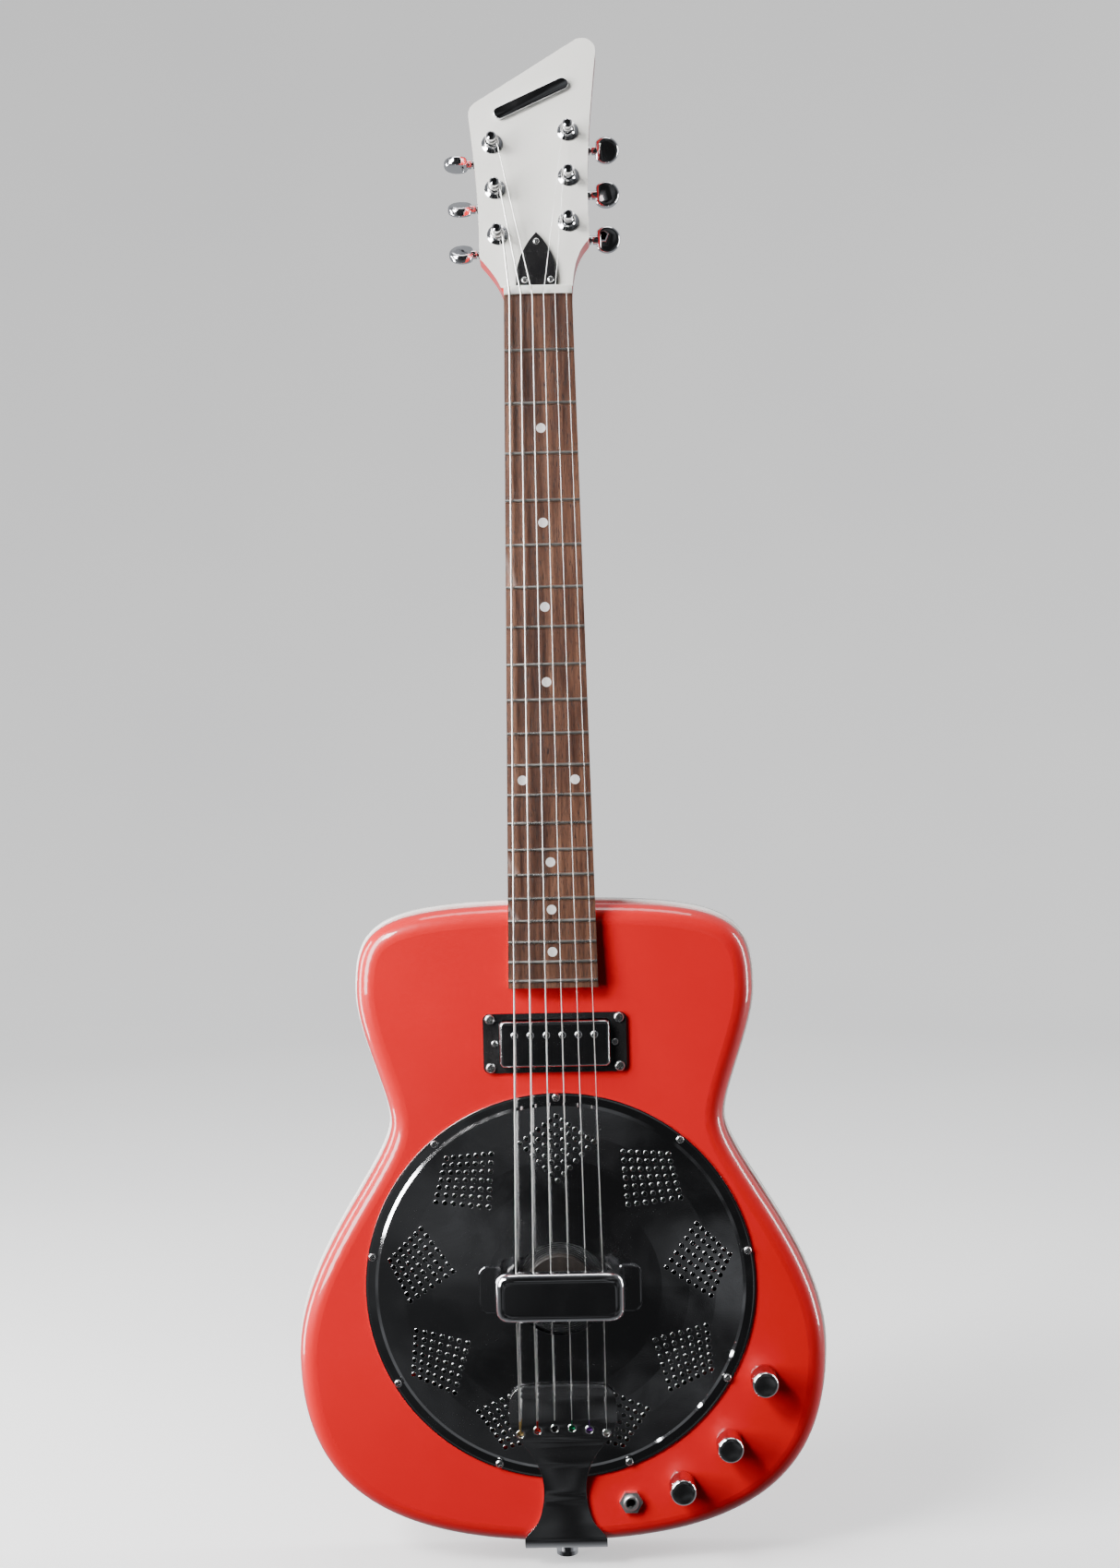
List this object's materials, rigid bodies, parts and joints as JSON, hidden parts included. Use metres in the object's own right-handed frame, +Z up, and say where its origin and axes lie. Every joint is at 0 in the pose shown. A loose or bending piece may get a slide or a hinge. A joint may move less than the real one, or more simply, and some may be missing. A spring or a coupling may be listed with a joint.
{
  "type": "resonator guitar",
  "caption": "Six-string electric resonator guitar with a red body, round metal cover plate, hand rest, tailpiece, pickup, control knobs and a bolt-on neck.",
  "frame": {"origin": "seat of the end strap button on the tailpiece, on the centreline at the body's mid depth", "axes": "+Z up along the neck, +X towards the treble side, strings face -Y"},
  "size_m": [0.34, 0.0956, 0.9789],
  "materials": {
    "red_paint": "gloss red paint over wood",
    "white_face": "gloss white paint",
    "white_strip": "satin white moulding",
    "rosewood": "oiled dark wood",
    "bare_wood": "sealed wood",
    "fret_wire": "polished nickel silver",
    "pearl": "pearl inlay",
    "nut_white": "polished white",
    "black_plastic": "gloss black",
    "chrome": "mirror chrome",
    "screw_steel": "plated steel",
    "spun_aluminium": "spun bare metal",
    "maple": "dark stained maple",
    "steel_string": "plain and wound wire",
    "bright_steel": "turned steel"
  },
  "bodies": {
    "guitar": {"body_front": "red_paint", "body_back": "red_paint", "side_binding": "white_strip", "cone_ledge": "bare_wood", "neck": "red_paint", "headstock_face": "white_face", "fingerboard": "rosewood", "frets": "fret_wire", "position_dots": "pearl", "nut": "nut_white", "truss_rod": "bright_steel", "truss_rod_cover": "black_plastic", "headstock_badge": "chrome", "neck_plate": "chrome", "pickup_ring": "chrome", "pickup_cover": "chrome", "pickup_coils": "black_plastic", "pickup_pole_screws": "screw_steel", "pickup_screws": "screw_steel", "resonator_cone": "spun_aluminium", "bridge_biscuit": "maple", "bridge_saddle": "maple", "cover_plate": "chrome", "hand_rest": "chrome", "tailpiece": "chrome", "strap_buttons": "chrome", "tuner_housings": "chrome", "tuner_bushings": "chrome", "potentiometers": "bright_steel", "output_jack": "chrome", "panel_nuts": "chrome", "strings": "steel_string", "cover_plate_screws": "screw_steel", "neck_plate_screws": "screw_steel", "headstock_screws": "screw_steel", "strap_screws": "screw_steel"},
    "tuner_key_1": {"tuner_button_1": "chrome", "tuner_worm_1": "bright_steel"},
    "post_1": {"string_post_1": "chrome"},
    "tuner_key_2": {"tuner_button_2": "chrome", "tuner_worm_2": "bright_steel"},
    "post_2": {"string_post_2": "chrome"},
    "tuner_key_3": {"tuner_button_3": "chrome", "tuner_worm_3": "bright_steel"},
    "post_3": {"string_post_3": "chrome"},
    "tuner_key_4": {"tuner_button_4": "chrome", "tuner_worm_4": "bright_steel"},
    "post_4": {"string_post_4": "chrome"},
    "tuner_key_5": {"tuner_button_5": "chrome", "tuner_worm_5": "bright_steel"},
    "post_5": {"string_post_5": "chrome"},
    "tuner_key_6": {"tuner_button_6": "chrome", "tuner_worm_6": "bright_steel"},
    "post_6": {"string_post_6": "chrome"},
    "control_volume": {"knob_volume": "chrome", "pot_shaft_volume": "bright_steel"},
    "control_blend": {"knob_blend": "chrome", "pot_shaft_blend": "bright_steel"},
    "control_tone": {"knob_tone": "chrome", "pot_shaft_tone": "bright_steel"}
  },
  "joints": [
    {"name": "tune_1", "type": "hinge", "parent": "guitar", "child": "tuner_key_1", "pos_m": [0.02, 0.02122, 0.83651], "axis": [1, 0, 0], "continuous": true},
    {"name": "post_turn_1", "type": "hinge", "parent": "guitar", "child": "post_1", "pos_m": [0.02, 0.00367, 0.84473], "axis": [0, 0.9816, -0.1908], "continuous": true},
    {"name": "tune_2", "type": "hinge", "parent": "guitar", "child": "tuner_key_2", "pos_m": [0.0206, 0.02702, 0.86636], "axis": [1, 0, 0], "continuous": true},
    {"name": "post_turn_2", "type": "hinge", "parent": "guitar", "child": "post_2", "pos_m": [0.0206, 0.00947, 0.87458], "axis": [0, 0.9816, -0.1908], "continuous": true},
    {"name": "tune_3", "type": "hinge", "parent": "guitar", "child": "tuner_key_3", "pos_m": [0.0208, 0.03282, 0.8962], "axis": [1, 0, 0], "continuous": true},
    {"name": "post_turn_3", "type": "hinge", "parent": "guitar", "child": "post_3", "pos_m": [0.0208, 0.01527, 0.90442], "axis": [0, 0.9816, -0.1908], "continuous": true},
    {"name": "tune_4", "type": "hinge", "parent": "guitar", "child": "tuner_key_4", "pos_m": [-0.0277, 0.03145, 0.88913], "axis": [-1, 0, 0], "continuous": true},
    {"name": "post_turn_4", "type": "hinge", "parent": "guitar", "child": "post_4", "pos_m": [-0.0277, 0.01389, 0.89735], "axis": [0, 0.9816, -0.1908], "continuous": true},
    {"name": "tune_5", "type": "hinge", "parent": "guitar", "child": "tuner_key_5", "pos_m": [-0.0262, 0.02561, 0.85909], "axis": [-1, 0, 0], "continuous": true},
    {"name": "post_turn_5", "type": "hinge", "parent": "guitar", "child": "post_5", "pos_m": [-0.0262, 0.00806, 0.86731], "axis": [0, 0.9816, -0.1908], "continuous": true},
    {"name": "tune_6", "type": "hinge", "parent": "guitar", "child": "tuner_key_6", "pos_m": [-0.025, 0.01977, 0.82905], "axis": [-1, 0, 0], "continuous": true},
    {"name": "post_turn_6", "type": "hinge", "parent": "guitar", "child": "post_6", "pos_m": [-0.025, 0.00222, 0.83727], "axis": [0, 0.9816, -0.1908], "continuous": true},
    {"name": "turn_volume", "type": "hinge", "parent": "guitar", "child": "control_volume", "pos_m": [0.1274, -0.025, 0.1111], "axis": [0, -1, 0], "range_deg": [-150, 150]},
    {"name": "turn_blend", "type": "hinge", "parent": "guitar", "child": "control_blend", "pos_m": [0.1049, -0.025, 0.0701], "axis": [0, -1, 0], "range_deg": [-150, 150]},
    {"name": "turn_tone", "type": "hinge", "parent": "guitar", "child": "control_tone", "pos_m": [0.0746, -0.025, 0.0435], "axis": [0, -1, 0], "range_deg": [-150, 150]}
  ],
  "couplings": [
    {"joint": "post_turn_1", "follows": "tune_1", "ratio": 0.071429},
    {"joint": "post_turn_2", "follows": "tune_2", "ratio": 0.071429},
    {"joint": "post_turn_3", "follows": "tune_3", "ratio": 0.071429},
    {"joint": "post_turn_4", "follows": "tune_4", "ratio": -0.071429},
    {"joint": "post_turn_5", "follows": "tune_5", "ratio": -0.071429},
    {"joint": "post_turn_6", "follows": "tune_6", "ratio": -0.071429}
  ]
}
